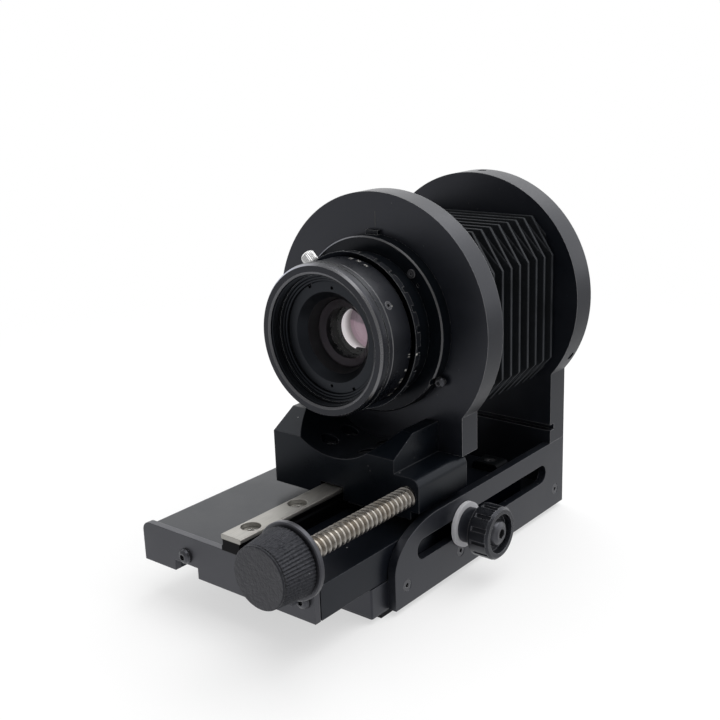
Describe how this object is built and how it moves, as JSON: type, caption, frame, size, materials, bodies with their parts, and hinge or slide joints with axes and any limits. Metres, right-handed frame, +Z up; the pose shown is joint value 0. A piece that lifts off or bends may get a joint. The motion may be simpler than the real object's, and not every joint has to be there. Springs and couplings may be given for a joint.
{
  "type": "process camera",
  "caption": "Bench process camera: round lens board and pleated bellows on a screw-driven carriage, over a rail bed clamped to a slotted base, with a round rear camera port.",
  "frame": {"origin": "mouth of the tripod socket in the underside of the foot plate, straight under the lens axis", "axes": "+Z up, +Y back along the lens axis towards the camera port, +X to the side of the focusing knob and the clamp"},
  "size_m": [0.0864, 0.1515, 0.1182],
  "materials": {
    "black_anodised": "satin black anodised",
    "foot_rubber": "matte black sheet",
    "black_steel": "blackened steel",
    "bright_steel": "ground bright steel",
    "screw_steel": "rolled thread, lightly oiled",
    "bellows_cloth": "matte coated cloth",
    "coated_glass": "purple anti-reflection coating",
    "white_nylon": "smooth white nylon",
    "black_plastic": "moulded black"
  },
  "bodies": {
    "base": {"foot_plate": "foot_rubber", "base_block": "black_anodised", "side_plate": "black_anodised", "side_screws": "black_steel", "rear_board": "black_anodised", "rear_set_screws": "black_steel", "camera_ring": "black_anodised", "bellows_rear": "bellows_cloth"},
    "bed": {"bed": "black_anodised", "end_plate": "black_anodised", "end_screws": "black_steel", "rail": "bright_steel", "rail_screws": "bright_steel", "bearing_bracket": "black_anodised", "rear_stop": "black_anodised", "stop_screws": "black_steel", "bellows_front": "bellows_cloth"},
    "carriage": {"carriage_block": "black_anodised", "runner": "bright_steel", "block_screws": "black_steel", "front_board": "black_anodised", "board_screws": "black_steel", "flange_clamps": "bright_steel", "lens_flange": "black_anodised", "lens_collar": "black_anodised", "lens_core": "black_anodised", "lens_barrel": "black_anodised", "lens_screws": "black_steel", "front_ring": "black_anodised", "retainer_ring": "black_anodised", "front_glass": "coated_glass", "rear_glass": "coated_glass", "stop_ring": "black_anodised", "lens_locknut": "black_anodised"},
    "aperture": {"iris_setting_ring": "black_anodised"},
    "thumb": {"thumb_screw": "bright_steel"},
    "screw": {"lead_screw": "screw_steel", "knob_disc": "black_anodised", "focus_knob": "black_anodised"},
    "clamp": {"clamp_washer": "white_nylon", "clamp_collar": "black_anodised", "clamp_knob": "black_plastic", "clamp_screw": "black_steel"}
  },
  "joints": [
    {"name": "bed_slide", "type": "slide", "parent": "base", "child": "bed", "axis": [0, 1, 0], "range_m": [-0.02, 0.013], "deforming": ["bellows_rear"]},
    {"name": "focus_slide", "type": "slide", "parent": "bed", "child": "carriage", "axis": [0, 1, 0], "range_m": [-0.036, 0.008], "deforming": ["bellows_front"]},
    {"name": "lead_screw_turn", "type": "hinge", "parent": "bed", "child": "screw", "pos_m": [0.0273, -0.05, 0.0327], "axis": [0, 1, 0], "range_deg": [-1920, 8640]},
    {"name": "clamp_turn", "type": "hinge", "parent": "bed", "child": "clamp", "pos_m": [0.03, -0.0075, 0.0164], "axis": [1, 0, 0], "range_deg": [0, 360]},
    {"name": "aperture_turn", "type": "hinge", "parent": "carriage", "child": "aperture", "pos_m": [0, -0.02, 0.0772], "axis": [0, 1, 0], "range_deg": [-30, 60]},
    {"name": "thumb_turn", "type": "hinge", "parent": "carriage", "child": "thumb", "pos_m": [-0.02086, -0.01555, 0.09735], "axis": [-0.7193, 0, 0.6947], "range_deg": [-360, 360]}
  ],
  "couplings": [
    {"joint": "lead_screw_turn", "follows": "focus_slide", "rad_per_m": -3141.6}
  ]
}
